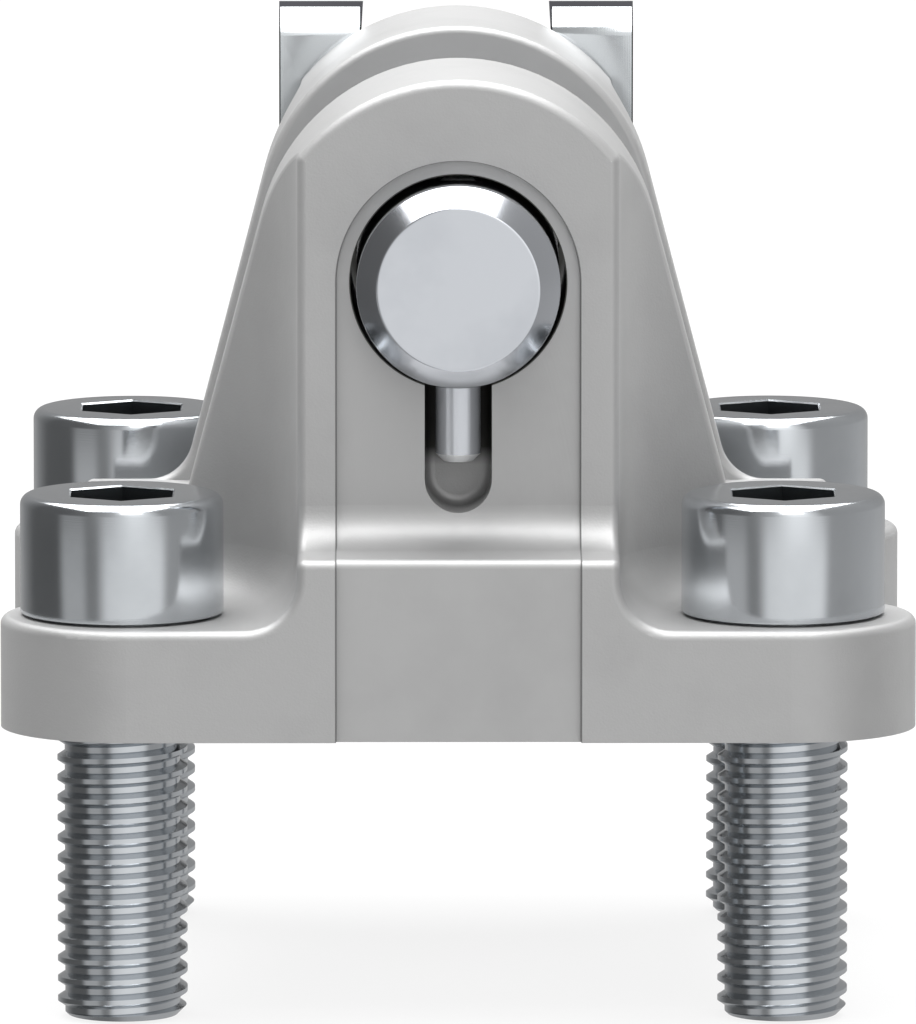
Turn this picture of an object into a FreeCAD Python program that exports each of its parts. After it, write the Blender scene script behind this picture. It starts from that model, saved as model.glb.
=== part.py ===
import FreeCAD, Part
import math
import os

from FreeCAD import Vector

# Rear clevis mount of a 32 mm bore pneumatic cylinder, in millimetres.
# The origin is the centre of the mounting face. +Z points from that face to the
# clevis pin, and the pin lies along Y. The front, with the pin's locked end, is -Y.

# Base
base_width = 45.0
screw_spacing = 32.5
waist_width = 35.0
flange_thickness = 5.5
block_height = 9.0
recess_diameter = 30.0
recess_depth = 4.5
recess_chamfer = 0.4
scoop_wall = 0.9
scoop_straight_wall = 0.5
edge_radius = 0.45

# Ears
axis_height = 22.0
ear_end_radius = 10.0
ear_lean = 14.9
ear_gap = 14.0
ears_width = 34.0
ear_foot_radius = 2.2
ear_rim_radius = 0.35
ledge_radius = 2.0
pad_width = 12.0
pad_depth = 0.35

# Clevis pin
pin_diameter = 10.0
pin_bore_clearance = 0.6
pin_front_reach = 3.0
pin_rear_reach = 4.0
pin_chamfer = 1.0
pin_chamfer_angle = 45.0
pin_groove_depth = 0.8

# Dowel through the pin, and the slot that it locks in
dowel_diameter = 2.25
dowel_length = 14.0
dowel_chamfer = 0.4
dowel_behind_ear_face = 1.5
slot_side_clearance = 1.05
slot_depth = 3.0
slot_below_dowel = 2.4
slot_floor_radius = 0.5

# Spring clip in the pin's rear groove
clip_width = 18.0
clip_sheet = 0.9
clip_ear_gap = 0.15
clip_groove_clearance = 0.2
clip_seat_clearance = 0.1
clip_mouth = 9.66
clip_neck = 7.8
clip_mouth_foot = 5.5
clip_top = 10.0
clip_lip = 1.65
clip_lip_lean = 38.0
clip_bend_radius = 1.0
clip_foot = 9.6
clip_tongue_width = 13.0
clip_tongue_top = 6.6
clip_tongue_radius = 3.0
clip_nose_reach = 0.8
clip_nose_clearance = 0.4

# Cap screws
screw_diameter = 6.0
screw_neck_diameter = 5.35
screw_length = 20.0
screw_hole_clearance = 0.6
screw_side_gap = 0.02
head_diameter = 10.0
head_height = 6.0
head_top_radius = 0.55
head_bottom_chamfer = 0.15
hex_width = 5.0
hex_depth = 3.0
hex_chamfer = 0.06
drill_point_angle = 118.0
screw_end_chamfer = 0.45

# Places and radii that follow from the sizes above
half_width = base_width / 2
screw_place = screw_spacing / 2
block_half = ear_gap / 2 + scoop_wall
scoop_radius = screw_place - block_half
scoop_floor_radius = block_height - flange_thickness - edge_radius - scoop_straight_wall
ear_face = ears_width / 2
cast_ear_face = ear_face + pad_depth
pin_radius = pin_diameter / 2
bore_radius = pin_radius + pin_bore_clearance / 2
pin_front = -(ear_face + pin_front_reach)
pin_rear = ear_face + pin_rear_reach
cone_length = pin_chamfer / math.tan(math.radians(pin_chamfer_angle))
dowel_radius = dowel_diameter / 2
dowel_y = dowel_behind_ear_face - ear_face
dowel_tip = axis_height + pin_radius - dowel_length
clip_front = cast_ear_face + clip_ear_gap
clip_rear = pin_rear - clip_nose_reach + clip_sheet
groove_radius = pin_radius - pin_groove_depth
screw_shift = screw_side_gap - screw_hole_clearance / 2
screw_tip = flange_thickness - screw_length
round_bend = 1 - math.sqrt(0.5)
beyond = 2 * base_width

X = Vector(1, 0, 0)
Y = Vector(0, 1, 0)
Z = Vector(0, 0, 1)
ORIGIN = Vector(0, 0, 0)


def line(a, b):
    return Part.LineSegment(a, b).toShape()


def arc(a, middle, b):
    return Part.Arc(a, middle, b).toShape()


def polygon(points):
    return [line(a, b) for a, b in zip(points, points[1:])]


def face(edges):
    return Part.Face(Part.Wire(edges))


def xz(x, z):
    return Vector(x, 0, z)


def yz(y, z):
    return Vector(0, y, z)


def moved(shape, offset):
    shape.translate(offset)
    return shape


def turned(shape, angle):
    copy = shape.copy()
    copy.rotate(ORIGIN, Z, angle)
    return copy


def rod(radius, y_from, y_to):
    """Round bar along the clevis pin's axis."""
    return Part.makeCylinder(radius, y_to - y_from, Vector(0, y_from, axis_height), Y)


def screw_holes():
    """Centres of the four screw holes, each with its screw's name."""
    for y, row in ((-screw_place, "front"), (screw_place, "rear")):
        for x, side in ((-screw_place, "left"), (screw_place, "right")):
            yield f"screw_{row}_{side}", Vector(x, y, 0)


def base_outline():
    """Four round lobes about the screws, straight front and back, hollow waists at the sides."""
    s, half_waist = screw_place, waist_width / 2
    lobe = half_width - s
    rise = half_waist - s
    waist = (rise ** 2 + s ** 2 - lobe ** 2) / (2 * (lobe - rise))
    waist_x = half_waist + waist
    reach = math.hypot(waist_x - s, s)
    touch_x = s + lobe * (waist_x - s) / reach
    touch_y = s - lobe * s / reach
    diagonal = s + lobe * math.sqrt(0.5)
    edges = []
    for side in (1, -1):
        corner = Vector(side * s, -side * half_width, 0)
        low = Vector(side * touch_x, -side * touch_y, 0)
        high = Vector(side * touch_x, side * touch_y, 0)
        end = Vector(side * s, side * half_width, 0)
        edges.append(line(Vector(-side * s, -side * half_width, 0), corner))
        edges.append(arc(corner, Vector(side * diagonal, -side * diagonal, 0), low))
        edges.append(arc(low, Vector(side * half_waist, 0, 0), high))
        edges.append(arc(high, Vector(side * diagonal, side * diagonal, 0), end))
    return face(edges)


def ear_outline():
    """Round end about the pin, leaning sides, and hollow feet that run out onto the block."""
    lean = math.radians(ear_lean)
    side_x = ear_end_radius * math.cos(lean)
    side_z = axis_height + ear_end_radius * math.sin(lean)
    root_x = ear_end_radius / math.cos(lean) + (axis_height - block_height) * math.tan(lean)
    foot = ear_foot_radius * math.tan((math.pi / 2 - lean) / 2)
    foot_x = root_x + foot
    up_x = root_x - foot * math.sin(lean)
    up_z = block_height + foot * math.cos(lean)
    half_turn = math.radians(45) + lean / 2
    mid_x = foot_x - ear_foot_radius * math.cos(half_turn)
    mid_z = block_height + ear_foot_radius * (1 - math.sin(half_turn))
    sunk = block_height - edge_radius
    left, right = xz(-side_x, side_z), xz(side_x, side_z)
    edges = [arc(left, xz(0, axis_height + ear_end_radius), right)]
    edges.append(line(right, xz(up_x, up_z)))
    edges.append(arc(xz(up_x, up_z), xz(mid_x, mid_z), xz(foot_x, block_height)))
    edges += polygon([
        xz(foot_x, block_height), xz(foot_x, sunk), xz(-foot_x, sunk), xz(-foot_x, block_height),
    ])
    edges.append(arc(xz(-foot_x, block_height), xz(-mid_x, mid_z), xz(-up_x, up_z)))
    edges.append(line(xz(-up_x, up_z), left))
    return face(edges)


def middle_of(edge):
    return edge.valueAt((edge.FirstParameter + edge.LastParameter) / 2)


def ear():
    """The rear ear, its rim rounded at the gap, with the hollow radius from its outer face to the ledge."""
    gap_face = ear_gap / 2
    plate = moved(ear_outline().extrude(Y * (cast_ear_face - gap_face)), Y * gap_face)
    at_gap = [e for e in plate.Edges if abs(middle_of(e).y - gap_face) < 1e-6]
    plate = plate.makeFillet(ear_rim_radius, [e for e in at_gap if middle_of(e).z > block_height])
    corner = yz(cast_ear_face, block_height)
    r, bend = ledge_radius, ledge_radius * round_bend
    middle = corner + yz(bend, bend)
    edges = [line(corner, corner + Y * r), arc(corner + Y * r, middle, corner + Z * r)]
    edges.append(line(corner + Z * r, corner))
    hollow = face(edges).extrude(X * (2 * block_half))
    return plate.fuse(moved(hollow, -X * block_half))


def scoop():
    """The hollow over one screw: a round wall about the screw that runs straight out both ways."""
    inner = block_half
    bend = screw_place - scoop_radius * math.sqrt(0.5)
    start, end = Vector(inner, screw_place, 0), Vector(screw_place, inner, 0)
    edges = [arc(start, Vector(bend, bend, 0), end)]
    edges += polygon([
        end, Vector(beyond, inner, 0), Vector(beyond, beyond, 0), Vector(inner, beyond, 0), start,
    ])
    tool = moved(face(edges).extrude(Z * beyond), Z * flange_thickness)
    wall_feet = []
    for e in tool.Edges:
        middle = middle_of(e)
        low = abs(middle.z - flange_thickness) < 1e-6
        if low and max(middle.x, middle.y) < beyond - 1e-6:
            wall_feet.append(e)
    return tool.makeFillet(scoop_floor_radius, wall_feet)


def normal_at(surface, point):
    return surface.normalAt(*surface.Surface.parameter(point))


def outer_edges(body):
    """Edges that stand out from the casting, apart from those of the mounting face."""
    found = []
    for e in body.Edges:
        middle = middle_of(e)
        if middle.z < 1e-6:
            continue
        near, far = [normal_at(f, middle) for f in body.ancestorsOfType(e, Part.Face)]
        probe = middle + (near - far) * (edge_radius / 20)
        if near.getAngle(far) > math.radians(8) and not body.isInside(probe, 1e-6, True):
            found.append(e)
    return found


def casting():
    """Base, block and ears with their scoops, all outer edges rounded."""
    body = base_outline().extrude(Z * block_height)
    body = body.fuse([turned(ear(), 0), turned(ear(), 180)]).removeSplitter()
    for angle in (0, 90, 180, 270):
        body = body.cut(turned(scoop(), angle))
    body = body.removeSplitter()
    return body.makeFillet(edge_radius, outer_edges(body))


def milled_track():
    """What the milled track takes off the rear: an arched band down ear, hollow radius and base."""
    half = pad_width / 2
    low, crown = -1, axis_height + half
    edges = [arc(xz(-half, axis_height), xz(0, crown), xz(half, axis_height))]
    edges += polygon([
        xz(half, axis_height), xz(half, low), xz(-half, low), xz(-half, axis_height),
    ])
    band = face(edges).extrude(Y * beyond)
    front, top = half_width - pad_depth, block_height
    e, e_bend = edge_radius, edge_radius * round_bend
    r, r_bend = ledge_radius, ledge_radius * round_bend
    edges = [line(yz(front, low), yz(front, top - e))]
    edges.append(arc(yz(front, top - e), yz(front - e_bend, top - e_bend), yz(front - e, top)))
    edges.append(line(yz(front - e, top), yz(ear_face + r, top)))
    hollow = yz(ear_face + r_bend, top + r_bend)
    edges.append(arc(yz(ear_face + r, top), hollow, yz(ear_face, top + r)))
    edges += polygon([
        yz(ear_face, top + r), yz(ear_face, beyond), yz(beyond, beyond), yz(beyond, low),
        yz(front, low),
    ])
    outside = face(edges).extrude(X * pad_width)
    return band.common(moved(outside, -X * half))


def dowel_slot():
    """Blind slot in the front ear, from the pin bore down to a round end below the dowel."""
    half = dowel_radius + slot_side_clearance / 2
    centre = dowel_tip - slot_below_dowel + half
    floor = slot_depth - ear_face
    edges = [arc(xz(-half, centre), xz(0, centre - half), xz(half, centre))]
    edges += polygon([
        xz(half, centre), xz(half, axis_height), xz(-half, axis_height), xz(-half, centre),
    ])
    slot = moved(face(edges).extrude(Y * -beyond), Y * floor)
    low = axis_height - 1e-4
    at_floor = [e for e in slot.Edges if e.BoundBox.YMin > floor - 1e-4 and e.BoundBox.ZMin < low]
    return slot.makeFillet(slot_floor_radius, at_floor)


def centring_recess():
    """Round spigot seat in the mounting face, with a chamfered mouth."""
    radius = recess_diameter / 2
    mouth = Part.makeCone(radius + recess_chamfer, radius, recess_chamfer)
    return Part.makeCylinder(radius, recess_depth).fuse(mouth)


def clevis_bracket():
    body = casting()
    for angle in (0, 180):
        body = body.cut(turned(milled_track(), angle))
    body = body.cut([rod(bore_radius, -beyond, beyond), dowel_slot(), centring_recess()])
    hole_radius = (screw_diameter + screw_hole_clearance) / 2
    for _, centre in screw_holes():
        body = body.cut(Part.makeCylinder(hole_radius, beyond, centre - Z))
    return body


def clevis_pin():
    """Pin with coned ends, a clip groove at the rear and a cross hole for the dowel."""
    pin = rod(pin_radius, pin_front + cone_length, pin_rear - cone_length)
    for y, way in ((pin_front, Y), (pin_rear, -Y)):
        end = Vector(0, y, axis_height)
        pin = pin.fuse(Part.makeCone(pin_radius - pin_chamfer, pin_radius, cone_length, end, way))
    pin = pin.removeSplitter()
    start = clip_front - clip_groove_clearance / 2
    end = clip_front + clip_sheet + clip_groove_clearance / 2
    groove = rod(pin_radius + 1, start, end).cut(rod(groove_radius, start, end))
    hole = Part.makeCylinder(dowel_radius, beyond, Vector(0, dowel_y, 0))
    return pin.cut([groove, hole])


def anti_rotation_pin():
    """Straight dowel, flush with the top of the clevis pin, with a chamfer at each end."""
    small = dowel_radius - dowel_chamfer
    top = Z * dowel_length
    dowel = Part.makeCylinder(dowel_radius, dowel_length - 2 * dowel_chamfer, Z * dowel_chamfer)
    ends = [Part.makeCone(small, dowel_radius, dowel_chamfer)]
    ends.append(Part.makeCone(small, dowel_radius, dowel_chamfer, top, -Z))
    return moved(dowel.fuse(ends).removeSplitter(), Vector(0, dowel_y, dowel_tip))


def clip_strip():
    """The clip's bent sheet at full width: lip, fork leaf, bow at the foot, and tongue."""
    lean = math.radians(clip_lip_lean)
    bow = (clip_rear - clip_front) / 2
    bow_z = axis_height - clip_foot + bow
    corner = yz(clip_front, axis_height + clip_top - clip_lip * math.cos(lean))
    lip_way = yz(math.sin(lean), math.cos(lean))
    back = clip_bend_radius * math.tan(lean / 2)
    bent, straight = corner + lip_way * back, corner - Z * back
    sagitta = clip_bend_radius * (1 - math.cos(lean / 2))
    middle = (bent + straight) * 0.5 + yz(-math.cos(lean / 2), math.sin(lean / 2)) * sagitta
    foot, heel = yz(clip_front, bow_z), yz(clip_rear, bow_z)
    outside = Part.Wire([
        line(corner + lip_way * clip_lip, bent),
        arc(bent, middle, straight),
        line(straight, foot),
        arc(foot, yz(clip_front + bow, bow_z - bow), heel),
        line(heel, yz(clip_rear, axis_height + clip_tongue_top)),
    ])
    sheet = outside.makeOffset2D(-clip_sheet, 0, True, True)
    return moved(sheet.extrude(X * clip_width), -X * (clip_width / 2))


def clip_leaf_blank():
    """Front leaf seen flat: full width above, drawn in to the tongue's width at the bow."""
    wide, narrow = clip_width / 2, clip_tongue_width / 2
    step = wide - narrow
    low = axis_height - clip_foot + clip_rear - clip_front
    top, bend = axis_height + clip_top + 1, step * round_bend
    edges = polygon([xz(narrow, low), xz(narrow, 0), xz(-narrow, 0), xz(-narrow, low)])
    edges.append(arc(xz(-narrow, low), xz(-wide + bend, low + bend), xz(-wide, low + step)))
    edges += polygon([xz(-wide, low + step), xz(-wide, top), xz(wide, top), xz(wide, low + step)])
    edges.append(arc(xz(wide, low + step), xz(wide - bend, low + bend), xz(narrow, low)))
    return face(edges)


def clip_tongue_blank():
    """Rear tongue seen flat, with rounded top corners."""
    narrow, r = clip_tongue_width / 2, clip_tongue_radius
    top, bend = axis_height + clip_tongue_top, clip_tongue_radius * round_bend
    edges = polygon([xz(narrow, top - r), xz(narrow, 0), xz(-narrow, 0), xz(-narrow, top - r)])
    edges.append(arc(xz(-narrow, top - r), xz(bend - narrow, top - bend), xz(r - narrow, top)))
    edges.append(line(xz(r - narrow, top), xz(narrow - r, top)))
    edges.append(arc(xz(narrow - r, top), xz(narrow - bend, top - bend), xz(narrow, top - r)))
    return face(edges)


def fork_slot():
    """Opening of the fork: a seat about the pin's groove, a snap neck and a straight mouth."""
    seat = groove_radius + clip_seat_clearance
    neck, mouth = clip_neck / 2, clip_mouth / 2
    neck_z = axis_height + math.sqrt(seat ** 2 - neck ** 2)
    mouth_z, top = axis_height + clip_mouth_foot, axis_height + clip_top + 1
    edges = [arc(xz(-neck, neck_z), xz(0, axis_height - seat), xz(neck, neck_z))]
    edges += polygon([
        xz(neck, neck_z), xz(mouth, mouth_z), xz(mouth, top), xz(-mouth, top), xz(-mouth, mouth_z),
        xz(-neck, neck_z),
    ])
    return face(edges)


def retaining_clip():
    strip = clip_strip()
    bow_y = (clip_front + clip_rear) / 2
    lips_z = axis_height + (clip_tongue_top + clip_top - clip_lip) / 2
    leaf = moved(clip_leaf_blank().extrude(Y * (bow_y - ear_face)), Y * ear_face)
    tongue = moved(clip_tongue_blank().extrude(Y * bow_y), Y * bow_y)
    lips = Part.makeBox(clip_width, bow_y, beyond, Vector(-clip_width / 2, bow_y, lips_z))
    clip = strip.common(leaf.fuse([tongue, lips]))
    tongue_on_cone = clip_rear - clip_sheet - (pin_rear - cone_length)
    cone_radius = pin_radius - tongue_on_cone * pin_chamfer / cone_length
    nose_hole = rod(cone_radius + clip_nose_clearance, bow_y, pin_rear + 1)
    slot = moved(fork_slot().extrude(Y * (bow_y - ear_face)), Y * ear_face)
    return clip.cut([slot, nose_hole])


def hex_socket():
    """Six-sided hole with a drilled point."""
    corner = hex_width / math.sqrt(3)
    angles = [k * math.pi / 3 for k in range(7)]
    points = [Vector(corner * math.sin(a), corner * math.cos(a), 0) for a in angles]
    hollow = face(polygon(points)).extrude(Z * hex_depth)
    point_depth = hex_width / 2 / math.tan(math.radians(drill_point_angle / 2))
    hollow = hollow.fuse(Part.makeCone(0, hex_width / 2, point_depth, -Z * point_depth))
    return moved(hollow, Z * (flange_thickness + head_height - hex_depth))


def cap_screw():
    """Socket head cap screw, its head seated on the flange: a neck in the flange, thread below."""
    shank, neck, head = screw_diameter / 2, screw_neck_diameter / 2, head_diameter / 2
    seat, top = flange_thickness, flange_thickness + head_height
    r, bend = head_top_radius, head_top_radius * round_bend
    edges = polygon([
        xz(0, top), xz(0, screw_tip), xz(shank - screw_end_chamfer, screw_tip),
        xz(shank, screw_tip + screw_end_chamfer), xz(shank, 0), xz(neck, 0), xz(neck, seat),
        xz(head - head_bottom_chamfer, seat), xz(head, seat + head_bottom_chamfer), xz(head, top - r),
    ])
    edges.append(arc(xz(head, top - r), xz(head - bend, top - bend), xz(head - r, top)))
    edges.append(line(xz(head - r, top), xz(0, top)))
    screw = face(edges).revolve(ORIGIN, Z, 360).cut(hex_socket())
    flats = [e for e in screw.Edges if isinstance(e.Curve, Part.Line)]
    mouth = [e for e in flats if min(v.Z for v in e.Vertexes) > top - hex_chamfer]
    return screw.makeChamfer(hex_chamfer, mouth)


def sub_parts():
    yield "clevis_bracket", clevis_bracket()
    yield "clevis_pin", clevis_pin()
    yield "anti_rotation_pin", anti_rotation_pin()
    yield "retaining_clip", retaining_clip()
    for name, centre in screw_holes():
        yield name, moved(cap_screw(), centre + X * screw_shift)


os.makedirs("parts", exist_ok=True)
for name, shape in sub_parts():
    shape.Solids[0].exportStep(f"parts/{name}.step")
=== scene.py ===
import math

import bmesh
import bpy
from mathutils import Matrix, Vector


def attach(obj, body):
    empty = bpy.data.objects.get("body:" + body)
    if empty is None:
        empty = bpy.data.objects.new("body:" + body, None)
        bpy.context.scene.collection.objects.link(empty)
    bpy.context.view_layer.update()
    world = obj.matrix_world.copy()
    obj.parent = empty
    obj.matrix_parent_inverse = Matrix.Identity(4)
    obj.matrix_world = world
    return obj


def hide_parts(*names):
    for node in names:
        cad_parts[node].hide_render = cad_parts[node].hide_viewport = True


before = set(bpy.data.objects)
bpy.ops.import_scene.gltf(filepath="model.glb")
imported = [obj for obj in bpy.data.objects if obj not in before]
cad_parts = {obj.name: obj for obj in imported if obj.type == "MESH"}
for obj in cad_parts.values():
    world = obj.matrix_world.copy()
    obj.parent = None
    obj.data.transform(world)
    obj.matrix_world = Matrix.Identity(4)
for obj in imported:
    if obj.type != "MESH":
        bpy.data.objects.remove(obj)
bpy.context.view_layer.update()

# Clevis bracket: one aluminium pressure die casting, blasted to a fine even grain. The
# milled bands, the fork's gap, the pin bore, the recess and the mounting face keep the
# tool's lines. Painted shade darkens the bore, the gap round the pin and the dowel's slot,
# and a painted shade line runs along each band's step.
mm = 1000
axis_height = 0.022
ear_face, gap_face, gap_floor = 0.0169, 0.00702, 0.0086
band_half, band_step = 0.006, 0.00004
bore_edge = 0.00535
recess_edge, recess_top = 0.0155, 0.00452
face_top = 0.00002
slot_half, slot_middle, slot_reach = 0.00168, -0.0154, 0.0015
slot_shade_start, slot_shade_full = 0.0126, 0.0135
gap_shade_edge, gap_shade_full = 0.007, 0.0056
milling_pitch = 0.00022
grain_depth = 0.35
bracket_colour = (0.375, 0.375, 0.375, 1)
bracket_stain = (0.345, 0.345, 0.345, 1)
bracket_metallic = 0.6
bracket_roughness, bracket_spread = 0.52, 0.06
machined_roughness = 0.5
dull_roughness = 0.6
painted_bore_shade = (0.05, 0.05, 0.046, 1)
step_shade = (0.18, 0.18, 0.18, 1)


def add_node(tree, kind, sockets=None, **settings):
    """Adds a shader node. Each socket is given a value, or the output that feeds it."""
    made = tree.nodes.new("ShaderNode" + kind)
    for name, value in settings.items():
        setattr(made, name, value)
    for name, value in (sockets or {}).items():
        if isinstance(value, bpy.types.NodeSocket):
            tree.links.new(value, made.inputs[name])
        else:
            made.inputs[name].default_value = value
    return made


def maths(tree, operation, *values):
    return add_node(tree, "Math", dict(enumerate(values)), operation=operation).outputs[0]


def millimetres(tree):
    """The object's own coordinates, in millimetres."""
    place = add_node(tree, "TexCoord").outputs["Object"]
    sockets = {0: place, "Scale": mm}
    return add_node(tree, "VectorMath", sockets, operation="SCALE").outputs["Vector"]


def mix_colours(tree, share, first, second):
    """The second colour where the share is 1, and the first where it is 0."""
    mixed = add_node(tree, "Mix", {0: share, 6: first, 7: second}, data_type="RGBA")
    return mixed.outputs[2]


def new_group(name, inputs, outputs):
    """An empty shader group with its sockets, and its input and output nodes."""
    group = bpy.data.node_groups.new(name, "ShaderNodeTree")
    for way, sockets in (("INPUT", inputs), ("OUTPUT", outputs)):
        for socket, kind in sockets.items():
            group.interface.new_socket(socket, in_out=way, socket_type="NodeSocket" + kind)
    return group, group.nodes.new("NodeGroupInput").outputs, group.nodes.new("NodeGroupOutput").inputs


def blasted_grain_group():
    """Height of a blasted skin: pits a tenth of a millimetre wide, of two sizes."""
    group, given, out = new_group("blasted_grain", {"Place": "Vector"}, {"Height": "Float"})
    sockets = {"Vector": given["Place"], "Scale": 5.5, "Detail": 3.0, "Roughness": 0.6}
    coarse = add_node(group, "TexNoise", sockets).outputs["Fac"]
    sockets = {"Vector": given["Place"], "Scale": 9.0, "Randomness": 1.0}
    pits = add_node(group, "TexVoronoi", sockets).outputs["Distance"]
    group.links.new(maths(group, "MULTIPLY_ADD", pits, 0.5, coarse), out["Height"])
    return group


def tool_lines_group():
    """Height of the fine lines that a cutter or a grinding wheel leaves across a distance."""
    inputs = {"Place": "Vector", "Distance": "Float", "Pitch": "Float"}
    group, given, out = new_group("tool_lines", inputs, {"Height": "Float"})
    lines = maths(group, "DIVIDE", given["Distance"], given["Pitch"])
    sockets = {"W": lines, "Scale": 1.0, "Detail": 2.0, "Roughness": 0.7}
    ridges = add_node(group, "TexNoise", sockets, noise_dimensions="1D").outputs["Fac"]
    sockets = {"Vector": given["Place"], "Scale": 0.7, "Detail": 2.0}
    patches = add_node(group, "TexNoise", sockets).outputs["Fac"]
    group.links.new(maths(group, "MULTIPLY", ridges, patches), out["Height"])
    return group


def handling_group():
    """Colour and roughness of a clean part that has been handled: faint stains and rubbed spots."""
    inputs = {
        "Place": "Vector", "Colour": "Color", "Stain": "Color",
        "Roughness": "Float", "Spread": "Float",
    }
    group, given, out = new_group("handling", inputs, {"Colour": "Color", "Roughness": "Float"})
    sockets = {"Vector": given["Place"], "Scale": 0.16, "Detail": 4.0, "Roughness": 0.55}
    cloud = add_node(group, "TexNoise", sockets).outputs["Fac"]
    sockets = {"Value": cloud, "From Min": 0.48, "From Max": 0.78}
    stain = add_node(group, "MapRange", sockets).outputs["Result"]
    group.links.new(mix_colours(group, stain, given["Colour"], given["Stain"]), out["Colour"])
    sockets = {"Vector": given["Place"], "Scale": 1.3, "Detail": 5.0, "Roughness": 0.6}
    rubbed = add_node(group, "TexNoise", sockets).outputs["Fac"]
    swing = maths(group, "MULTIPLY", maths(group, "SUBTRACT", rubbed, 0.5), given["Spread"])
    group.links.new(maths(group, "ADD", given["Roughness"], swing), out["Roughness"])
    return group


blasted_grain = blasted_grain_group()
tool_lines = tool_lines_group()
handling = handling_group()


def new_material(name):
    material = bpy.data.materials.new(name)
    material.use_nodes = True
    tree = material.node_tree
    return material, tree, tree.nodes["Principled BSDF"]


def hypotenuse(tree, a, b):
    squares = maths(tree, "MULTIPLY_ADD", a, a, maths(tree, "MULTIPLY", b, b))
    return maths(tree, "SQRT", squares)


def refinish(material, mask, colour, roughness):
    """Gives the material another colour and roughness where the mask is 1."""
    tree = material.node_tree
    shader = tree.nodes["Principled BSDF"]
    base, sheen = [shader.inputs[name].links[0].from_socket for name in ("Base Color", "Roughness")]
    tree.links.new(mix_colours(tree, mask, base, colour), shader.inputs["Base Color"])
    mixed = add_node(tree, "Mix", {0: mask, 2: sheen, 3: roughness})
    tree.links.new(mixed.outputs[0], shader.inputs["Roughness"])


def past(tree, value, mark):
    """How far the value, in millimetres, lies past a mark given in metres."""
    return maths(tree, "SUBTRACT", value, mark * mm)


def above(tree, value, limit):
    """1 where the value, in millimetres, is over a limit given in metres."""
    return maths(tree, "GREATER_THAN", value, limit * mm)


def below(tree, value, limit):
    """1 where the value, in millimetres, is under a limit given in metres."""
    return maths(tree, "LESS_THAN", value, limit * mm)


def within(tree, value, limit):
    """1 where the value, in millimetres, is nearer to nought than a limit given in metres."""
    return below(tree, maths(tree, "ABSOLUTE", value), limit)


def ramp(tree, value, start, end):
    """Rises from 0 to 1 while the value, in millimetres, goes from a start to an end in metres."""
    sockets = {"Value": value, "From Min": start * mm, "From Max": end * mm}
    return add_node(tree, "MapRange", sockets).outputs["Result"]


def all_of(tree, *masks):
    """1 where every mask is 1."""
    result = masks[0]
    for mask in masks[1:]:
        result = maths(tree, "MULTIPLY", result, mask)
    return result


def any_of(tree, *masks):
    """1 where any mask is 1."""
    result = masks[0]
    for mask in masks[1:]:
        result = maths(tree, "MAXIMUM", result, mask)
    return result


def bracket_zones(tree, x, y, z, above_axis, from_axis):
    """Masks of what is machined, of the painted shade line along the band's step, and of the painted
    shade in the bore, the gap and the dowel's slot.
    """
    outer = above(tree, maths(tree, "ABSOLUTE", y), ear_face)
    arch = above(tree, above_axis, 0)
    from_middle = add_node(tree, "Mix", {0: arch, 2: maths(tree, "ABSOLUTE", x), 3: from_axis}).outputs[0]
    band = all_of(tree, below(tree, from_middle, band_half), outer)
    # Painted shade line along the band's step, a few hundredths of a millimetre wide.
    step = all_of(tree, within(tree, past(tree, from_middle, band_half), band_step), outer)
    in_gap = within(tree, y, gap_face)
    gap = all_of(tree, in_gap, above(tree, z, gap_floor))
    bore = below(tree, from_axis, bore_edge)
    recess = all_of(tree, below(tree, z, recess_top), below(tree, hypotenuse(tree, x, y), recess_edge))
    machined = any_of(tree, band, gap, bore, recess, below(tree, z, face_top))
    # Painted shade on the gap's faces round the pin, full within 5.6 mm of the axis.
    gap_shade = all_of(tree, in_gap, ramp(tree, from_axis, gap_shade_edge, gap_shade_full))
    # Painted shadow in the dowel's slot, below the pin's axis and above the dowel's lower end.
    slot = all_of(tree, within(tree, x, slot_half), within(tree, past(tree, y, slot_middle), slot_reach))
    slot = all_of(tree, slot, below(tree, above_axis, 0), ramp(tree, z, slot_shade_start, slot_shade_full))
    return machined, step, any_of(tree, bore, gap_shade, slot)


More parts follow.
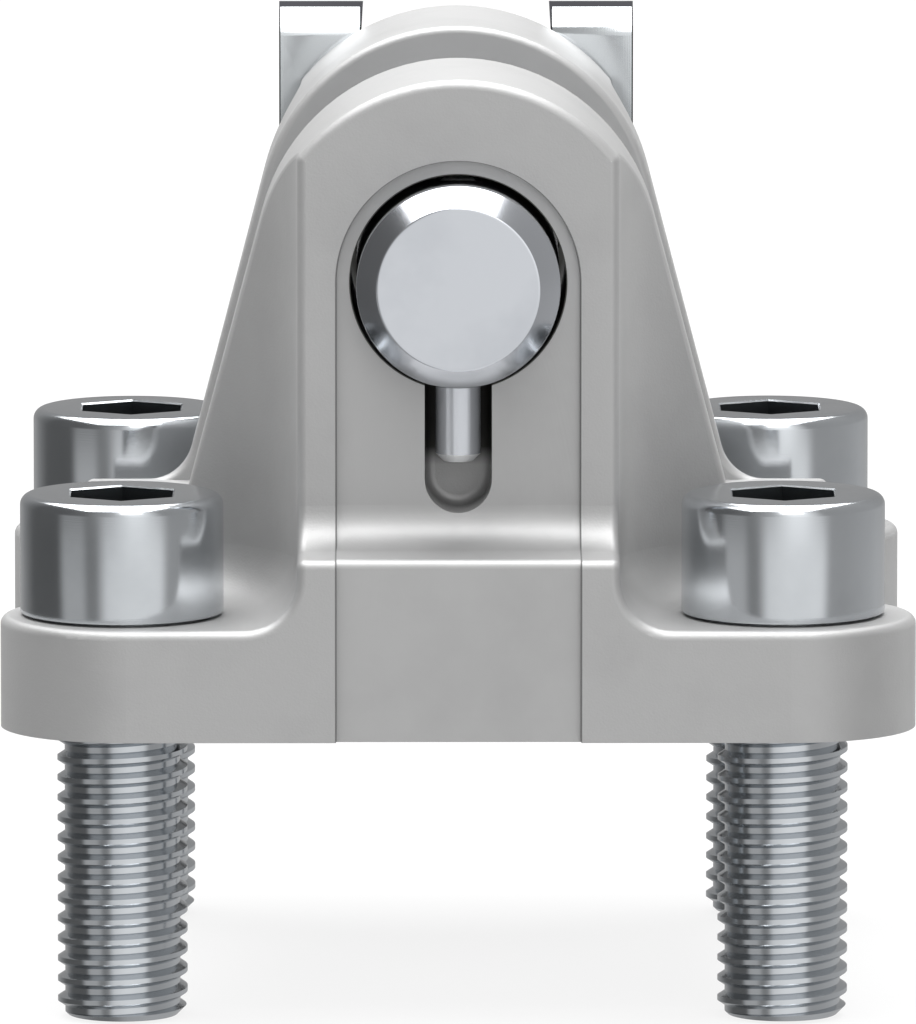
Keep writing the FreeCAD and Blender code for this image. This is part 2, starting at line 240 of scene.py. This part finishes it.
def bracket_material():
    material, tree, shader = new_material("cast_aluminium")
    place = millimetres(tree)
    x, y, z = add_node(tree, "SeparateXYZ", {0: place}).outputs
    above_axis = past(tree, z, axis_height)
    from_axis = hypotenuse(tree, x, above_axis)
    machined, step, painted_shade = bracket_zones(tree, x, y, z, above_axis, from_axis)
    across = maths(tree, "ADD", maths(tree, "ADD", hypotenuse(tree, x, y), z), from_axis)
    lines = add_node(tree, "Group", node_tree=tool_lines)
    tree.links.new(place, lines.inputs["Place"])
    tree.links.new(across, lines.inputs["Distance"])
    lines.inputs["Pitch"].default_value = milling_pitch * mm
    grain = add_node(tree, "Group", node_tree=blasted_grain)
    tree.links.new(place, grain.inputs["Place"])
    height = add_node(tree, "Mix", {0: machined, 2: grain.outputs[0], 3: lines.outputs[0]})
    roughness = add_node(tree, "Mix", {0: machined, 2: bracket_roughness, 3: machined_roughness})
    worn = add_node(tree, "Group", node_tree=handling)
    tree.links.new(place, worn.inputs["Place"])
    worn.inputs["Colour"].default_value = bracket_colour
    worn.inputs["Stain"].default_value = bracket_stain
    tree.links.new(roughness.outputs[0], worn.inputs["Roughness"])
    worn.inputs["Spread"].default_value = bracket_spread
    sockets = {"Height": height.outputs[0], "Strength": grain_depth, "Distance": 0.00002}
    bump = add_node(tree, "Bump", sockets)
    shader.inputs["Metallic"].default_value = bracket_metallic
    tree.links.new(worn.outputs["Colour"], shader.inputs["Base Color"])
    tree.links.new(worn.outputs["Roughness"], shader.inputs["Roughness"])
    tree.links.new(bump.outputs["Normal"], shader.inputs["Normal"])
    # Painted shade: the bore, the gap round the pin and the slot are darkened to nearly black.
    refinish(material, painted_shade, painted_bore_shade, dull_roughness)
    # Painted shade: a thin dark line along each milled band's step.
    refinish(material, step, step_shade, dull_roughness)
    return material


def dress(piece, material):
    piece.data.materials.clear()
    piece.data.materials.append(material)


dress(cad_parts["clevis_bracket"], bracket_material())


# Clevis pin: a 10 mm ground steel bar with a long cone turned on each end, a groove for
# the clip at the rear, and a cross hole for the dowel that locks it at the front.
pin_radius = 0.005
pin_front, pin_rear = -0.020, 0.021
pin_cone = 0.001
pin_end_radius = 0.004
groove_radius = 0.0042
groove_front, groove_rear = 0.0174, 0.0185
pin_edge_break = 0.00006
smooth_angle = math.radians(32)
dowel_radius = 0.001125
dowel_y = -0.0155
pin_steel = (0.595, 0.615, 0.65, 1)
pin_steel_stain = (0.52, 0.54, 0.575, 1)
cone_roughness = 0.19
near = 1e-6


def select_nothing():
    if bpy.context.object and bpy.context.object.mode == "EDIT":
        bpy.ops.object.mode_set(mode="OBJECT")
    bpy.ops.object.select_all(action="DESELECT")


def open_piece(name):
    """Puts the new primitive's place into its mesh, names it and opens it for editing."""
    piece = bpy.context.object
    piece.name = piece.data.name = name
    bpy.ops.object.transform_apply(location=True, rotation=True, scale=True)
    bpy.ops.object.mode_set(mode="EDIT")
    return piece


def pick(kind, test):
    """In edit mode, selects the faces, edges or corners whose points all pass the test."""
    bpy.ops.mesh.select_mode(type=kind)
    bpy.ops.mesh.select_all(action="DESELECT")
    mesh = bmesh.from_edit_mesh(bpy.context.edit_object.data)
    items = {"FACE": mesh.faces, "EDGE": mesh.edges, "VERT": mesh.verts}[kind]
    for item in items:
        if all(test(v.co) for v in (item.verts if kind != "VERT" else [item])):
            item.select_set(True)
    mesh.select_flush_mode()
    bmesh.update_edit_mesh(bpy.context.edit_object.data)


def draw_out(step, scale=(1, 1, 1), centre=(0, 0, 0)):
    """Extrudes the selected faces by a step and then scales them about a centre."""
    bpy.ops.mesh.extrude_region_move(TRANSFORM_OT_translate={"value": step})
    bpy.ops.transform.resize(value=scale, center_override=centre)


def break_edges(width, segments=3):
    bpy.ops.mesh.bevel(offset=width, segments=segments, affect="EDGES")


def close_piece():
    """Leaves edit mode with normals outward and curved faces shaded smooth."""
    bpy.ops.mesh.select_all(action="SELECT")
    bpy.ops.mesh.remove_doubles(threshold=1e-7)
    bpy.ops.mesh.normals_make_consistent(inside=False)
    bpy.ops.object.mode_set(mode="OBJECT")
    bpy.ops.object.shade_smooth_by_angle(angle=smooth_angle)


def cut(piece, cutter, operation="DIFFERENCE"):
    """Applies one solid to another as a boolean, and takes the cutter away."""
    if bpy.context.object.mode == "EDIT":
        bpy.ops.object.mode_set(mode="OBJECT")
    boolean = piece.modifiers.new("cut", "BOOLEAN")
    boolean.operation, boolean.solver, boolean.object = operation, "EXACT", cutter
    bpy.context.view_layer.objects.active = piece
    bpy.ops.object.modifier_apply(modifier=boolean.name)
    bpy.data.objects.remove(cutter)
    select_nothing()
    piece.select_set(True)


def seat(piece, material, slot, *nodes):
    """Dresses a finished piece and hangs it in the frame in place of its CAD nodes."""
    dress(piece, material)
    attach(piece, "root")
    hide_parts(*nodes)


def steel_material(name, colour, stain, roughness, spread, pitch, depth, distance):
    """Bright steel with tool lines across the distance that the given function works out."""
    material, tree, shader = new_material(name)
    place = millimetres(tree)
    lines = add_node(tree, "Group", node_tree=tool_lines)
    tree.links.new(place, lines.inputs["Place"])
    x, y, z = add_node(tree, "SeparateXYZ", {0: place}).outputs
    tree.links.new(distance(tree, x, y, z), lines.inputs["Distance"])
    lines.inputs["Pitch"].default_value = pitch * mm
    worn = add_node(tree, "Group", node_tree=handling)
    tree.links.new(place, worn.inputs["Place"])
    worn.inputs["Colour"].default_value = colour
    worn.inputs["Stain"].default_value = stain
    worn.inputs["Roughness"].default_value = roughness
    worn.inputs["Spread"].default_value = spread
    sockets = {"Height": lines.outputs[0], "Strength": depth, "Distance": 0.00001}
    bump = add_node(tree, "Bump", sockets)
    shader.inputs["Metallic"].default_value = 1.0
    tree.links.new(worn.outputs["Colour"], shader.inputs["Base Color"])
    tree.links.new(worn.outputs["Roughness"], shader.inputs["Roughness"])
    tree.links.new(bump.outputs["Normal"], shader.inputs["Normal"])
    return material


def pin_lines(tree, x, y, z):
    """Rings round the pin, and circles on its ends."""
    return maths(tree, "ADD", y, hypotenuse(tree, x, past(tree, z, axis_height)))


def turn_cones(material):
    """The cones are turned and not ground, so they are a little duller than the rest."""
    tree = material.node_tree
    along = add_node(tree, "SeparateXYZ", {0: millimetres(tree)}).outputs["Y"]
    from_middle = maths(tree, "ABSOLUTE", past(tree, along, (pin_front + pin_rear) / 2))
    from_cone = past(tree, from_middle, (pin_rear - pin_front - pin_cone) / 2)
    refinish(material, within(tree, from_cone, 0.49 * pin_cone), pin_steel, cone_roughness)


select_nothing()
bar_front, bar_rear = pin_front + pin_cone, groove_front
bpy.ops.mesh.primitive_cylinder_add(
    vertices=144, radius=pin_radius, depth=bar_rear - bar_front,
    location=(0, (bar_front + bar_rear) / 2, axis_height), rotation=(math.radians(90), 0, 0),
)
pin = open_piece("clevis_pin_bar")
pin_axis = (0, 0, axis_height)
pick("FACE", lambda p: abs(p.y - bar_front) < near)
taper = pin_end_radius / pin_radius
draw_out((0, -pin_cone, 0), (taper, 1, taper), pin_axis)
pick("FACE", lambda p: abs(p.y - bar_rear) < near)
neck = groove_radius / pin_radius
draw_out((0, 0, 0), (neck, 1, neck), pin_axis)
draw_out((0, groove_rear - groove_front, 0))
draw_out((0, 0, 0), (1 / neck, 1, 1 / neck), pin_axis)
draw_out((0, pin_rear - pin_cone - groove_rear, 0))
draw_out((0, pin_cone, 0), (taper, 1, taper), pin_axis)
for y in (pin_front, bar_front, groove_front, groove_rear, pin_rear - pin_cone, pin_rear):
    rim = 0.9 * pin_end_radius if y in (pin_front, pin_rear) else 0.95 * pin_radius
    pick("EDGE", lambda p: abs(p.y - y) < near and math.hypot(p.x, p.z - axis_height) > rim)
    break_edges(pin_edge_break)
for y in (pin_front, pin_rear):
    pick("FACE", lambda p: abs(p.y - y) < near)
    bpy.ops.mesh.inset(thickness=pin_edge_break)
close_piece()
select_nothing()
bpy.ops.mesh.primitive_cylinder_add(
    vertices=48, radius=dowel_radius, depth=4 * pin_radius, location=(0, dowel_y, axis_height),
)
cut(pin, bpy.context.object)
bpy.ops.object.shade_smooth_by_angle(angle=smooth_angle)
pin_material = steel_material(
    "ground_pin_steel", pin_steel, pin_steel_stain,
    roughness=0.12, spread=0.04, pitch=0.00005, depth=0.15, distance=pin_lines,
)
turn_cones(pin_material)
seat(pin, pin_material, "pin_steel", "clevis_pin")


# Locking dowel: a short hardened steel peg pressed through the clevis pin. Its lower end
# stands in the slot of the front ear, and both ends have a turned chamfer.
dowel_bottom, dowel_top = 0.013, 0.027
dowel_chamfer = 0.0004
dowel_edge_break = 0.00004
dowel_metallic = 0.5
dowel_end_painted_light = (0.85, 0.86, 0.87, 1)
dowel_end_roughness = 0.5


def dowel_lines(tree, x, y, z):
    """Rings round the dowel and circles on its ends."""
    return maths(tree, "ADD", z, hypotenuse(tree, x, past(tree, y, dowel_y)))


def dull_ends_with_painted_light(material):
    """Both turned chamfers are duller than the ground side; their paler colour is painted light."""
    tree = material.node_tree
    height = add_node(tree, "SeparateXYZ", {0: millimetres(tree)}).outputs["Z"]
    from_middle = past(tree, height, (dowel_top + dowel_bottom) / 2)
    ground = within(tree, from_middle, (dowel_top - dowel_bottom) / 2 - dowel_chamfer)
    # Painted light: the chamfers are given a paler colour, and a duller finish.
    refinish(material, maths(tree, "SUBTRACT", 1.0, ground), dowel_end_painted_light, dowel_end_roughness)


select_nothing()
bpy.ops.mesh.primitive_cylinder_add(
    vertices=80, radius=dowel_radius, depth=dowel_top - dowel_bottom - 2 * dowel_chamfer,
    location=(0, dowel_y, (dowel_top + dowel_bottom) / 2),
)
dowel = open_piece("locking_dowel")
point = 1 - dowel_chamfer / dowel_radius
for z, step in ((dowel_top, dowel_chamfer), (dowel_bottom, -dowel_chamfer)):
    pick("FACE", lambda p: abs(p.z - (z - step)) < near)
    draw_out((0, 0, step), (point, point, 1), (0, dowel_y, z))
for z in (dowel_bottom, dowel_bottom + dowel_chamfer, dowel_top - dowel_chamfer, dowel_top):
    pick("EDGE", lambda p: abs(p.z - z) < near)
    break_edges(dowel_edge_break)
close_piece()
dowel_material = steel_material(
    "dowel_steel", pin_steel, pin_steel_stain,
    roughness=0.12, spread=0.04, pitch=0.00005, depth=0.12, distance=dowel_lines,
)
dull_ends_with_painted_light(dowel_material)
dowel_material.node_tree.nodes["Principled BSDF"].inputs["Metallic"].default_value = dowel_metallic
seat(dowel, dowel_material, "pin_steel", "anti_rotation_pin")


# Spring clip: one strip of bright spring steel, blanked, bent and hardened. The forked
# front leaf snaps into the pin's groove, and the tongue behind hooks over the pin's nose.
leaf_front, tongue_rear = 0.0175, 0.0211
clip_sheet = 0.0009
clip_half, tongue_half = 0.009, 0.0065
leaf_low, bow_height = 0.016, 0.0142
bend_height, bend_radius = 0.030356, 0.001
lip_lean = math.radians(38)
lip_length = 0.00143
tongue_top = 0.0286
tongue_corner = 0.003
fork_seat_radius = 0.0043
fork_neck, fork_mouth, fork_mouth_top = 0.0039, 0.00483, 0.00466
fork_neck_height = axis_height + math.sqrt(fork_seat_radius ** 2 - fork_neck ** 2)
fork_mouth_height = 0.0275
nose_hole_radius = 0.0052
clip_edge_round, clip_end_round = 0.00008, 0.00015
clip_steel = (0.68, 0.71, 0.73, 1)
clip_steel_stain = (0.61, 0.64, 0.66, 1)
sheared_steel_and_shade = (0.30, 0.31, 0.32, 1)
sheared_roughness = 0.4
painted_edge_shade = (0.018, 0.018, 0.02, 1)
edge_shade_roughness = 0.3
sheared_rim, sheared_end, shade_line_depth = 0.00007, 0.00034, 0.00014
mouth_depth, mouth_punch = 0.0015, 0.00396


def clip_lines(tree, x, y, z):
    """Rolling lines that run along the strip."""
    return x


def shade_sheared_edges(material):
    """The strip's blanked edges are duller and darker, partly their own sheared finish and partly painted
    shade, with a nearly black painted shade line along the front of the edges and across the lip's top.
    """
    tree = material.node_tree
    x, y, z = add_node(tree, "SeparateXYZ", {0: millimetres(tree)}).outputs
    side = maths(tree, "ABSOLUTE", x)
    in_tongue = any_of(tree, below(tree, z, leaf_low), above(tree, y, (leaf_front + tongue_rear) / 2))
    narrow = all_of(tree, in_tongue, above(tree, side, tongue_half - sheared_rim))
    leant = maths(tree, "MAXIMUM", past(tree, z, bend_height), 0)
    front = maths(tree, "MULTIPLY_ADD", leant, math.tan(lip_lean), leaf_front * mm)
    depth = maths(tree, "SUBTRACT", y, front)
    mouth = all_of(tree, below(tree, side, fork_mouth + sheared_rim), above(tree, z, fork_mouth_height))
    mouth = all_of(tree, mouth, below(tree, depth, mouth_depth))
    edges = any_of(tree, mouth, above(tree, side, clip_half - sheared_rim))
    # Duller, darker sheared edges: partly their own sheared finish, partly painted shade.
    refinish(material, any_of(tree, edges, narrow), sheared_steel_and_shade, sheared_roughness)
    # Painted shade: a nearly black line along the front corner of the edges and across the lip's top.
    edge_shade_line = any_of(tree, edges, above(tree, z, lip_top - sheared_end))
    edge_shade_line = all_of(tree, edge_shade_line, below(tree, depth, shade_line_depth))
    refinish(material, edge_shade_line, painted_edge_shade, edge_shade_roughness)


def bend(angle, steps, centre):
    """Draws the selected face round a line along X through the centre, in equal steps."""
    for _ in range(steps):
        bpy.ops.mesh.extrude_region()
        bpy.ops.transform.rotate(value=angle / steps, orient_axis="X", center_override=centre)


def round_corners(height, half, radius):
    """Rounds the two corners of the flat sheet at a height."""
    for side in (-1, 1):
        pick("EDGE", lambda p: abs(p.z - height) < near and abs(p.x * side - half) < near)
        break_edges(radius, 12)


def round_edges(piece, width):
    """Rounds every edge of a finished piece where its faces turn by more than 50 degrees."""
    bevel = piece.modifiers.new("edges", "BEVEL")
    bevel.width, bevel.segments, bevel.limit_method = width, 2, "ANGLE"
    bevel.angle_limit = math.radians(50)
    bpy.context.view_layer.objects.active = piece
    bpy.ops.object.modifier_apply(modifier=bevel.name)


select_nothing()
bpy.ops.mesh.primitive_cube_add(
    size=1, location=(0, leaf_front + clip_sheet / 2, (leaf_low + bend_height) / 2),
    scale=(2 * clip_half, clip_sheet, bend_height - leaf_low),
)
clip = open_piece("spring_clip")
round_corners(leaf_low, clip_half, clip_half - tongue_half)
pick("FACE", lambda p: abs(p.z - leaf_low) < near)
draw_out((0, 0, bow_height - leaf_low))
bend(-math.pi, 18, (0, (leaf_front + tongue_rear) / 2, bow_height))
draw_out((0, 0, tongue_top - bow_height))
round_corners(tongue_top, tongue_half, tongue_corner)
pick("FACE", lambda p: abs(p.z - bend_height) < near)
bend(lip_lean, 8, (0, leaf_front + bend_radius, bend_height))
draw_out((0, lip_length * math.sin(lip_lean), lip_length * math.cos(lip_lean)))
lip_top = max(v.co.z for v in bmesh.from_edit_mesh(clip.data).verts)
pick("EDGE", lambda p: abs(p.z - lip_top) < near)
break_edges(clip_end_round, 6)
close_piece()
holes = (("fork_seat", fork_seat_radius, leaf_front), ("nose_hole", nose_hole_radius, tongue_rear))
for name, radius, y in holes:
    bpy.ops.mesh.primitive_cylinder_add(
        vertices=96, radius=radius, depth=3 * clip_sheet, location=(0, y, axis_height),
        rotation=(math.radians(90), 0, 0),
    )
    open_piece(name)
    cut(clip, bpy.context.object)
bpy.ops.mesh.primitive_cube_add(
    size=1, location=(0, leaf_front, (axis_height + fork_neck_height) / 2),
    scale=(2 * fork_neck, mouth_punch, fork_neck_height - axis_height),
)
open_piece("fork_mouth")
pick("FACE", lambda p: abs(p.z - fork_neck_height) < near)
draw_out((0, 0, fork_mouth_height - fork_neck_height), (fork_mouth / fork_neck, 1, 1))
draw_out((0, 0, bend_height - fork_mouth_height))
draw_out((0, 0, 2 * lip_length), (fork_mouth_top / fork_mouth, 1, 1))
cut(clip, bpy.context.object)
round_edges(clip, clip_edge_round)
bpy.ops.object.mode_set(mode="EDIT")
close_piece()
clip_material = steel_material(
    "spring_steel", clip_steel, clip_steel_stain,
    roughness=0.16, spread=0.05, pitch=0.00009, depth=0.2, distance=clip_lines,
)
shade_sheared_edges(clip_material)
seat(clip, clip_material, "spring_steel", "retaining_clip")


# Cap screws: four cold-forged M6 screws, zinc plated. Each has a plain cylinder head with
# a six-sided socket, a washer face under it, a turned neck, and a rolled thread below.
screw_x, screw_y = 0.01653, 0.01625
screw_spacing = 0.0325
seat_height, washer_height = 0.0055, 0.00012
head_radius, head_top = 0.005, 0.0115
head_round, head_foot_break = 0.00055, 0.00012
washer_radius = 0.0043
neck_radius, neck_end = 0.002675, -0.001
socket_width, socket_depth = 0.005, 0.003
socket_corner = socket_width / math.sqrt(3)
socket_foot, socket_skin = 0.0045, 0.00002
socket_edge = 0.00008
drill_point = math.radians(59)
thread_pitch = 0.001
crest_radius, root_radius = 0.0032, 0.00284
root_flat, flank = 0.00028, 0.00024
thread_top, thread_end = -0.000053, -0.01437
thread_turns, lead_in = 18, 1.37 * thread_pitch
thread_end_radius = 0.0027
zinc = (0.59, 0.615, 0.64, 1)
zinc_stain = (0.515, 0.54, 0.563, 1)
socket_painted_shade = (0.06, 0.066, 0.07, 1)
socket_roughness = 0.4


def screw_lines(tree, x, y, z):
    """Rings round each screw's own axis, and circles on its head."""
    half = screw_spacing / 2
    across = past(tree, maths(tree, "ABSOLUTE", past(tree, x, half - screw_x)), half)
    along = past(tree, maths(tree, "ABSOLUTE", y), screw_y)
    return maths(tree, "ADD", z, hypotenuse(tree, across, along))


def paint_socket_shade(material):
    """Painted shade: the socket's walls are darkened and dulled where shade falls in the recess."""
    tree = material.node_tree
    x, y, z = add_node(tree, "SeparateXYZ", {0: millimetres(tree)}).outputs
    rings = screw_lines(tree, x, y, z)
    from_axis = maths(tree, "SUBTRACT", rings, z)
    sunk = all_of(tree, below(tree, z, head_top - socket_edge), above(tree, z, socket_foot))
    socket = all_of(tree, sunk, below(tree, from_axis, socket_corner + socket_skin))
    # Painted shade inside each hexagon socket.
    refinish(material, socket, socket_painted_shade, socket_roughness)


def rolled_thread():
    """One turn's profile drawn point by point, wound up the screw and trimmed at both ends."""
    start = (root_radius, 0, thread_end - lead_in)
    bpy.ops.mesh.primitive_plane_add(size=thread_pitch, location=start)
    thread = open_piece("rolled_thread")
    bpy.ops.mesh.select_mode(type="VERT")
    bpy.ops.mesh.select_all(action="SELECT")
    bpy.ops.mesh.merge(type="CENTER")
    depth = crest_radius - root_radius
    crest_flat = thread_pitch - root_flat - 2 * flank
    for step in ((0, 0, root_flat), (depth, 0, flank), (0, 0, crest_flat), (-depth, 0, flank)):
        bpy.ops.mesh.extrude_region_move(TRANSFORM_OT_translate={"value": step})
    bpy.ops.object.mode_set(mode="OBJECT")
    winding = thread.modifiers.new("winding", "SCREW")
    winding.steps = winding.render_steps = 72
    winding.screw_offset, winding.iterations = thread_pitch, thread_turns
    bpy.ops.object.modifier_apply(modifier=winding.name)
    bpy.ops.object.mode_set(mode="EDIT")
    bpy.ops.mesh.select_all(action="SELECT")
    bpy.ops.mesh.remove_doubles(threshold=1e-7)
    for height, over in ((thread_top, True), (thread_end, False)):
        bpy.ops.mesh.select_all(action="SELECT")
        bpy.ops.mesh.bisect(
            plane_co=(0, 0, height), plane_no=(0, 0, 1), threshold=near / 10, use_fill=True,
            clear_outer=over, clear_inner=not over,
        )
    close_piece()
    chamfer = 2 * crest_radius - thread_end_radius
    length = 0.02
    bpy.ops.mesh.primitive_cylinder_add(
        vertices=96, radius=2 * crest_radius, depth=length,
        location=(0, 0, thread_end + chamfer + length / 2),
    )
    open_piece("end_chamfer")
    pick("FACE", lambda p: abs(p.z - thread_end - chamfer) < near)
    taper = thread_end_radius / (2 * crest_radius)
    draw_out((0, 0, -chamfer), (taper, taper, 1))
    cut(thread, bpy.context.object, "INTERSECT")
    return thread


def socket_cutter():
    """Six-sided punch with a drilled point, two of its corners on the Y axis."""
    bpy.ops.mesh.primitive_cylinder_add(
        vertices=6, radius=socket_corner, depth=2 * socket_depth, location=(0, 0, head_top),
    )
    punch = open_piece("socket_punch")
    close_piece()
    depth = socket_width / 2 / math.tan(drill_point)
    bpy.ops.mesh.primitive_cone_add(
        vertices=48, radius1=0, radius2=socket_width / 2, depth=depth,
        location=(0, 0, head_top - socket_depth - depth / 2 + near),
    )
    open_piece("drill_point")
    cut(punch, bpy.context.object, "UNION")
    return punch


select_nothing()
head_foot = seat_height + washer_height
bpy.ops.mesh.primitive_cylinder_add(
    vertices=96, radius=head_radius, depth=head_top - head_foot,
    location=(0, 0, (head_top + head_foot) / 2),
)
screw = open_piece("cap_screw_front_left")
pick("FACE", lambda p: abs(p.z - head_foot) < near)
step_in = washer_radius / head_radius
draw_out((0, 0, 0), (step_in, step_in, 1))
draw_out((0, 0, -washer_height))
step_in = neck_radius / washer_radius
draw_out((0, 0, 0), (step_in, step_in, 1))
draw_out((0, 0, neck_end - seat_height))
pick("EDGE", lambda p: abs(p.z - head_top) < near)
break_edges(head_round, 8)
pick("EDGE", lambda p: abs(p.z - head_foot) < near and math.hypot(p.x, p.y) > washer_radius + near)
break_edges(head_foot_break)
close_piece()
cut(screw, socket_cutter())
bpy.ops.object.mode_set(mode="EDIT")
pick("EDGE", lambda p: abs(p.z - head_top) < near and math.hypot(p.x, p.y) < socket_corner + near)
break_edges(socket_edge, 1)
close_piece()
cut(screw, rolled_thread(), "UNION")
bpy.ops.transform.translate(value=(-screw_x, -screw_y, 0))
bpy.ops.object.transform_apply(location=True)
bpy.ops.object.mode_set(mode="EDIT")
close_piece()
screw_material = steel_material(
    "zinc_plated_steel", zinc, zinc_stain,
    roughness=0.16, spread=0.05, pitch=0.00006, depth=0.2, distance=screw_lines,
)
paint_socket_shade(screw_material)
for place, x, y in (("front_right", 1, 0), ("rear_left", 0, 1), ("rear_right", 1, 1)):
    select_nothing()
    screw.select_set(True)
    bpy.context.view_layer.objects.active = screw
    bpy.ops.object.duplicate()
    copy = bpy.context.object
    copy.name = copy.data.name = "cap_screw_" + place
    bpy.ops.transform.translate(value=(x * screw_spacing, y * screw_spacing, 0))
    bpy.ops.object.transform_apply(location=True)
    seat(copy, screw_material, "screw_steel", "screw_" + place)
seat(screw, screw_material, "screw_steel", "screw_front_left")


# Studio: the bracket stands on its four screw ends, on a pale floor under soft boxes. The
# steel mirrors a round tent of grey cards and white gaps, which nothing else shows.
floor_height = -0.0145
floor_grey, floor_glow = (0.62, 0.62, 0.62, 1), 0.85
room_light = 0.42


def seen_white(tree):
    """1 for the camera and for what glossy and clear surfaces show, and 0 for other light."""
    seen = add_node(tree, "LightPath").outputs
    return any_of(tree, seen["Is Camera Ray"], seen["Is Glossy Ray"], seen["Is Transmission Ray"])


bpy.ops.mesh.primitive_plane_add(size=6, location=(0, 0, floor_height))
floor = bpy.context.object
floor.name = "floor"
floor.visible_glossy = False
material, tree, shader = new_material("pale_floor")
shader.inputs["Base Color"].default_value = floor_grey
shader.inputs["Roughness"].default_value = 0.9
glow = add_node(tree, "Emission", {"Strength": 1.0})
share = maths(tree, "MULTIPLY", seen_white(tree), floor_glow)
blend = add_node(tree, "MixShader", {0: share, 1: shader.outputs[0], 2: glow.outputs[0]})
tree.links.new(blend.outputs[0], tree.nodes["Material Output"].inputs["Surface"])
dress(floor, material)

world = bpy.data.worlds.new("white_surround")
bpy.context.scene.world = world
world.use_nodes = True
tree = world.node_tree
level = maths(tree, "MULTIPLY_ADD", seen_white(tree), 1 - room_light, room_light)
tree.links.new(level, tree.nodes["Background"].inputs["Strength"])
tree.nodes["Background"].inputs["Color"].default_value = (1, 1, 1, 1)


def tent_material():
    """Two rings of grey cards and white gaps, by their bearing from the front in degrees."""
    material, tree, shader = new_material("tent_wall")
    tree.nodes.remove(shader)
    place = add_node(tree, "TexCoord").outputs["Object"]
    x, y, z = add_node(tree, "SeparateXYZ", {0: place}).outputs
    bearing = maths(tree, "ARCTAN2", x, maths(tree, "MULTIPLY", y, -1.0))
    share = maths(tree, "MULTIPLY_ADD", bearing, 1 / math.tau, 0.5)
    height = maths(tree, "ARCTAN2", z, hypotenuse(tree, x, y))
    low_height, high_height = math.radians(-9), math.radians(4)
    low_ring = (
        (-180, .45), (-150, .36), (-118, .13), (-76, .12), (-67, .53), (-46, .53), (-38, .27),
        (-29, .27), (-17, .90), (8, 1.0), (44, 1.0), (54, .42), (72, .42), (130, .55), (180, .45),
    )
    high_ring = (
        (-180, .33), (-150, .33), (-110, .13), (-65, .14), (-40, .2), (-12, .55), (10, 1.4),
        (22, 1.4), (46, .38), (120, .45), (180, .33),
    )
    rings = []
    for stops in (low_ring, high_ring):
        ring = add_node(tree, "ValToRGB", {0: share})
        for _ in stops[2:]:
            ring.color_ramp.elements.new(0.5)
        for element, (degrees, grey) in zip(ring.color_ramp.elements, stops):
            element.position = degrees / 360 + 0.5
            element.color = (grey, grey, grey, 1)
        rings.append(ring.outputs[0])
    sockets = {"Value": height, "From Min": low_height, "From Max": high_height}
    rise = add_node(tree, "MapRange", sockets).outputs["Result"]
    wall = mix_colours(tree, rise, *rings)
    glow = add_node(tree, "Emission", {"Color": wall})
    tree.links.new(glow.outputs[0], tree.nodes["Material Output"].inputs["Surface"])
    material.cycles.emission_sampling = "NONE"
    return material


bpy.ops.mesh.primitive_uv_sphere_add(segments=96, ring_count=48, radius=1.0)
tent = bpy.context.object
tent.name = "light_tent"
tent.visible_camera = tent.visible_diffuse = tent.visible_shadow = tent.visible_transmission = False
dress(tent, tent_material())


def soft_box(name, place, aim, size, radiance):
    """A rectangular soft box of even radiance, turned to face the point it is aimed at."""
    lamp = bpy.data.lights.new(name, "AREA")
    lamp.shape = "RECTANGLE"
    lamp.size, lamp.size_y = size
    lamp.energy = radiance * math.pi * size[0] * size[1]
    box = bpy.data.objects.new(name, lamp)
    bpy.context.scene.collection.objects.link(box)
    box.location = place
    box.rotation_euler = (Vector(place) - Vector(aim)).to_track_quat("Z", "Y").to_euler()
    box.visible_camera = False
    return box


soft_box("overhead_box", (-0.05, 0.06, 0.5), (-0.05, 0.06, 0), (0.62, 0.85), 5.5)
for side in (-1, 1):
    rim = soft_box("rim_box", (side * 0.6, 0.35, 0.1), (0, 0, 0.01), (0.35, 0.35), 12)
    rim.visible_glossy = False
soft_box("front_box", (0.10, -0.55, 0.42), (0, 0, 0.02), (0.28, 0.42), 1.4)


# Camera: a long lens nearly a metre away, square to the front and about eight degrees above
# level, aimed between the pin and the base.
camera_data = bpy.data.cameras.new("front_camera")
camera = bpy.data.objects.new("front_camera", camera_data)
bpy.context.scene.collection.objects.link(camera)
bpy.context.scene.camera = camera
camera_data.sensor_width = 36
camera_data.lens = 621.54
camera_data.clip_start, camera_data.clip_end = 0.05, 20
camera_target = Vector((0.00004216, 0, 0.00832066))
azimuth, elevation, distance = math.radians(0.184744), math.radians(7.7949), 0.884862
along_floor = Vector((-math.sin(azimuth), -math.cos(azimuth), 0))
away = along_floor * math.cos(elevation) + Vector((0, 0, math.sin(elevation)))
camera.location = camera_target + away * distance
camera.rotation_euler = away.to_track_quat("Z", "Y").to_euler()

bpy.context.scene.view_settings.view_transform = "Standard"
